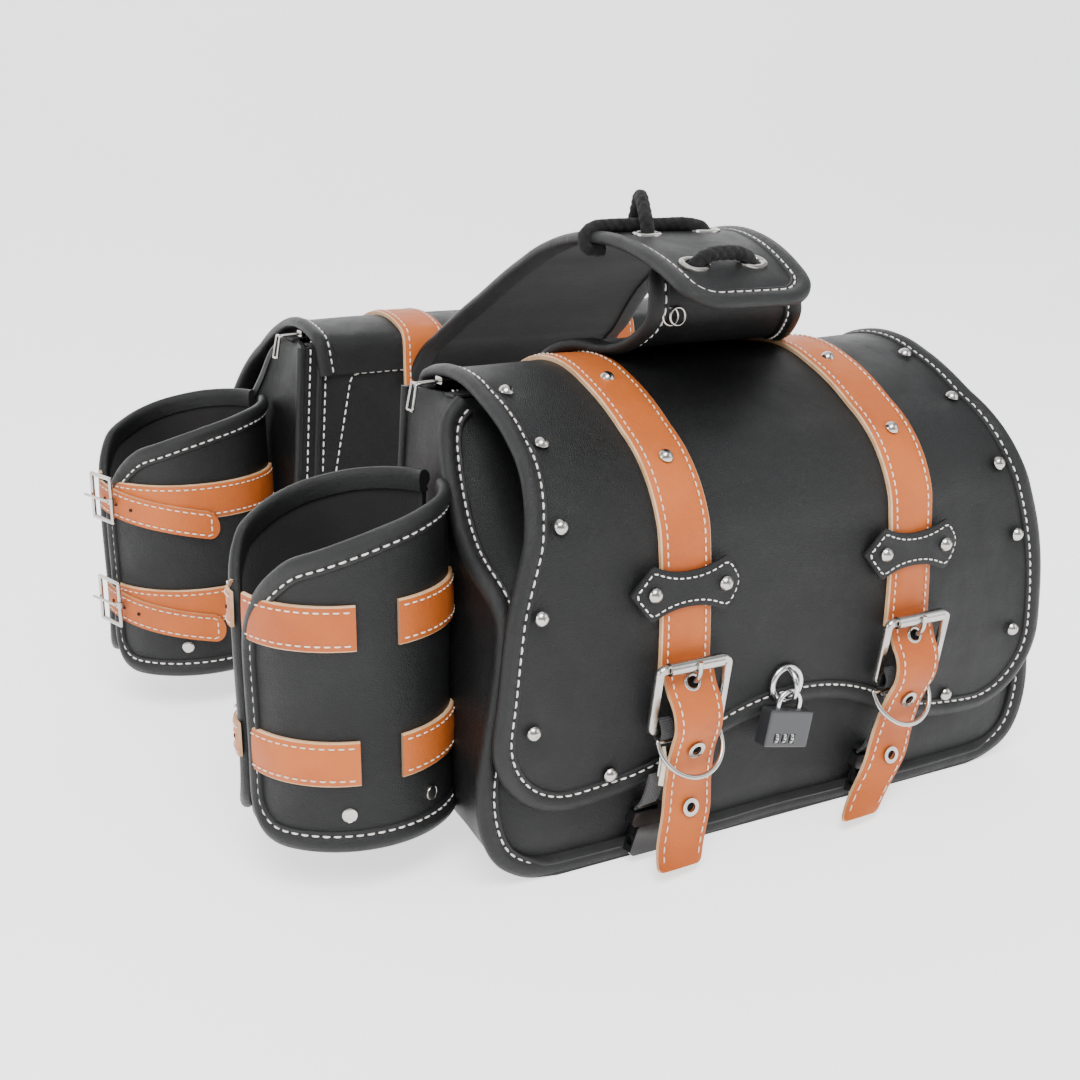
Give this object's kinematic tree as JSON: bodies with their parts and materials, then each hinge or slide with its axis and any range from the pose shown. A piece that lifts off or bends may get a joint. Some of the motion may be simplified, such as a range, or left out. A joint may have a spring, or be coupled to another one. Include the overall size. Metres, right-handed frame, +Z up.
{
  "type": "saddle bag pair",
  "caption": "Pair of boxy leather pannier bags with buckled flaps, side bottle holders and a laced yoke that hangs them over a bicycle rack.",
  "frame": {"origin": "centre of the bounding box at ground level, under the space between the two bags", "axes": "+X along the bags away from the bottle holders, +Y from the left bag to the right bag, +Z up"},
  "size_m": [0.5376, 0.562, 0.3696],
  "materials": {
    "black_leather": "satin grained black leather",
    "tan_leather": "tan leather strap with pale cut edges",
    "nickel": "bright nickel plate",
    "chrome": "polished chrome",
    "clip_plastic": "glossy black moulded plastic",
    "lock_black": "satin dark powder coat",
    "dial_plastic": "black dials with white digits",
    "zip_fabric": "woven zip tape",
    "stiffener": "stiff board",
    "black_cord": "braided round cord"
  },
  "bodies": {
    "left_bag": {"left_body_shell": "black_leather", "left_back_board": "stiffener", "left_body_piping": "black_leather", "left_zip_tape": "zip_fabric", "left_holder_wrap": "black_leather", "left_holder_base": "black_leather", "left_holder_straps": "tan_leather", "left_holder_buckles": "nickel", "left_clip_sockets": "clip_plastic", "left_yoke": "black_leather", "right_yoke": "black_leather", "yoke_grommets": "nickel", "yoke_lace": "black_cord"},
    "left_flap": {"left_flap": "black_leather", "left_flap_piping": "black_leather", "left_flap_straps": "tan_leather", "left_strap_keepers": "black_leather", "left_studs": "nickel", "left_tongue_straps": "tan_leather", "left_buckle_frames": "nickel", "left_lock_hasp": "nickel"},
    "left_roller": {"left_buckle_rollers": "nickel"},
    "left_prong": {"left_buckle_prongs": "nickel"},
    "left_d_ring": {"left_d_rings": "nickel"},
    "left_shackle": {"left_lock_shackle": "chrome"},
    "left_lock": {"left_lock_case": "lock_black"},
    "left_dial_1": {"left_lock_dial_1": "dial_plastic"},
    "left_dial_2": {"left_lock_dial_2": "dial_plastic"},
    "left_dial_3": {"left_lock_dial_3": "dial_plastic"},
    "left_zip": {"left_zip_slider": "nickel"},
    "left_plug": {"left_clip_plugs": "clip_plastic"},
    "left_holder_prong": {"left_holder_prongs": "nickel"},
    "right_bag": {"right_body_shell": "black_leather", "right_back_board": "stiffener", "right_body_piping": "black_leather", "right_zip_tape": "zip_fabric", "right_holder_wrap": "black_leather", "right_holder_base": "black_leather", "right_holder_straps": "tan_leather", "right_holder_buckles": "nickel", "right_clip_sockets": "clip_plastic"},
    "right_flap": {"right_flap": "black_leather", "right_flap_piping": "black_leather", "right_flap_straps": "tan_leather", "right_strap_keepers": "black_leather", "right_studs": "nickel", "right_tongue_straps": "tan_leather", "right_buckle_frames": "nickel", "right_lock_hasp": "nickel"},
    "right_roller": {"right_buckle_rollers": "nickel"},
    "right_prong": {"right_buckle_prongs": "nickel"},
    "right_d_ring": {"right_d_rings": "nickel"},
    "right_shackle": {"right_lock_shackle": "chrome"},
    "right_lock": {"right_lock_case": "lock_black"},
    "right_dial_1": {"right_lock_dial_1": "dial_plastic"},
    "right_dial_2": {"right_lock_dial_2": "dial_plastic"},
    "right_dial_3": {"right_lock_dial_3": "dial_plastic"},
    "right_zip": {"right_zip_slider": "nickel"},
    "right_plug": {"right_clip_plugs": "clip_plastic"},
    "right_holder_prong": {"right_holder_prongs": "nickel"}
  },
  "joints": [
    {"name": "yoke_fold", "type": "hinge", "parent": "left_bag", "child": "right_bag", "pos_m": [0.057, 0.092, 0.224], "axis": [1, 0, 0], "range_deg": [0, 8]},
    {"name": "left_flap_hinge", "type": "hinge", "parent": "left_bag", "child": "left_flap", "pos_m": [0.057, -0.093, 0.268], "axis": [-1, 0, 0], "range_deg": [0, 85], "deforming": ["left_yoke", "right_yoke", "yoke_grommets", "yoke_lace"]},
    {"name": "left_roller_spin", "type": "hinge", "parent": "left_flap", "child": "left_roller", "pos_m": [0.057, -0.2715, 0.124], "axis": [1, 0, 0], "continuous": true},
    {"name": "left_prong_lift", "type": "hinge", "parent": "left_flap", "child": "left_prong", "pos_m": [0.057, -0.2715, 0.084], "axis": [1, 0, 0], "range_deg": [0, 5]},
    {"name": "left_d_ring_swing", "type": "hinge", "parent": "left_flap", "child": "left_d_ring", "pos_m": [0.057, -0.2665, 0.079], "axis": [-1, 0, 0], "range_deg": [0, 25]},
    {"name": "left_lock_swing", "type": "hinge", "parent": "left_flap", "child": "left_shackle", "pos_m": [0.049, -0.2645, 0.091], "axis": [-1, 0, 0], "range_deg": [0, 50]},
    {"name": "left_lock_release", "type": "slide", "parent": "left_shackle", "child": "left_lock", "axis": [-0.2079, 0, -0.9781], "range_m": [0, 0.006]},
    {"name": "left_dial_1_spin", "type": "hinge", "parent": "left_lock", "child": "left_dial_1", "pos_m": [0.03482, -0.2665, 0.06518], "axis": [0.9781, 0, -0.2079], "continuous": true},
    {"name": "left_dial_2_spin", "type": "hinge", "parent": "left_lock", "child": "left_dial_2", "pos_m": [0.0405, -0.2665, 0.06398], "axis": [0.9781, 0, -0.2079], "continuous": true},
    {"name": "left_dial_3_spin", "type": "hinge", "parent": "left_lock", "child": "left_dial_3", "pos_m": [0.04617, -0.2665, 0.06277], "axis": [0.9781, 0, -0.2079], "continuous": true},
    {"name": "left_zip_slide", "type": "slide", "parent": "left_bag", "child": "left_zip", "axis": [1, 0, 0], "range_m": [0, 0.3]},
    {"name": "left_plug_release", "type": "slide", "parent": "left_bag", "child": "left_plug", "axis": [0, 0, 1], "range_m": [0, 0.008]},
    {"name": "left_holder_prong_swing", "type": "hinge", "parent": "left_bag", "child": "left_holder_prong", "pos_m": [-0.21384, -0.09086, 0.12], "axis": [0, 0, -1], "range_deg": [0, 60]},
    {"name": "right_flap_hinge", "type": "hinge", "parent": "right_bag", "child": "right_flap", "pos_m": [0.057, 0.093, 0.268], "axis": [1, 0, 0], "range_deg": [0, 85]},
    {"name": "right_roller_spin", "type": "hinge", "parent": "right_flap", "child": "right_roller", "pos_m": [0.057, 0.2715, 0.124], "axis": [1, 0, 0], "continuous": true},
    {"name": "right_prong_lift", "type": "hinge", "parent": "right_flap", "child": "right_prong", "pos_m": [0.057, 0.2715, 0.084], "axis": [-1, 0, 0], "range_deg": [0, 5]},
    {"name": "right_d_ring_swing", "type": "hinge", "parent": "right_flap", "child": "right_d_ring", "pos_m": [0.057, 0.2665, 0.079], "axis": [1, 0, 0], "range_deg": [0, 25]},
    {"name": "right_lock_swing", "type": "hinge", "parent": "right_flap", "child": "right_shackle", "pos_m": [0.049, 0.2645, 0.091], "axis": [1, 0, 0], "range_deg": [0, 50]},
    {"name": "right_lock_release", "type": "slide", "parent": "right_shackle", "child": "right_lock", "axis": [-0.2079, 0, -0.9781], "range_m": [0, 0.006]},
    {"name": "right_dial_1_spin", "type": "hinge", "parent": "right_lock", "child": "right_dial_1", "pos_m": [0.03482, 0.2665, 0.06518], "axis": [0.9781, 0, -0.2079], "continuous": true},
    {"name": "right_dial_2_spin", "type": "hinge", "parent": "right_lock", "child": "right_dial_2", "pos_m": [0.0405, 0.2665, 0.06398], "axis": [0.9781, 0, -0.2079], "continuous": true},
    {"name": "right_dial_3_spin", "type": "hinge", "parent": "right_lock", "child": "right_dial_3", "pos_m": [0.04617, 0.2665, 0.06277], "axis": [0.9781, 0, -0.2079], "continuous": true},
    {"name": "right_zip_slide", "type": "slide", "parent": "right_bag", "child": "right_zip", "axis": [1, 0, 0], "range_m": [0, 0.3]},
    {"name": "right_plug_release", "type": "slide", "parent": "right_bag", "child": "right_plug", "axis": [0, 0, 1], "range_m": [0, 0.008]},
    {"name": "right_holder_prong_swing", "type": "hinge", "parent": "right_bag", "child": "right_holder_prong", "pos_m": [-0.25717, 0.12782, 0.12], "axis": [0, 0, 1], "range_deg": [0, 60]}
  ]
}
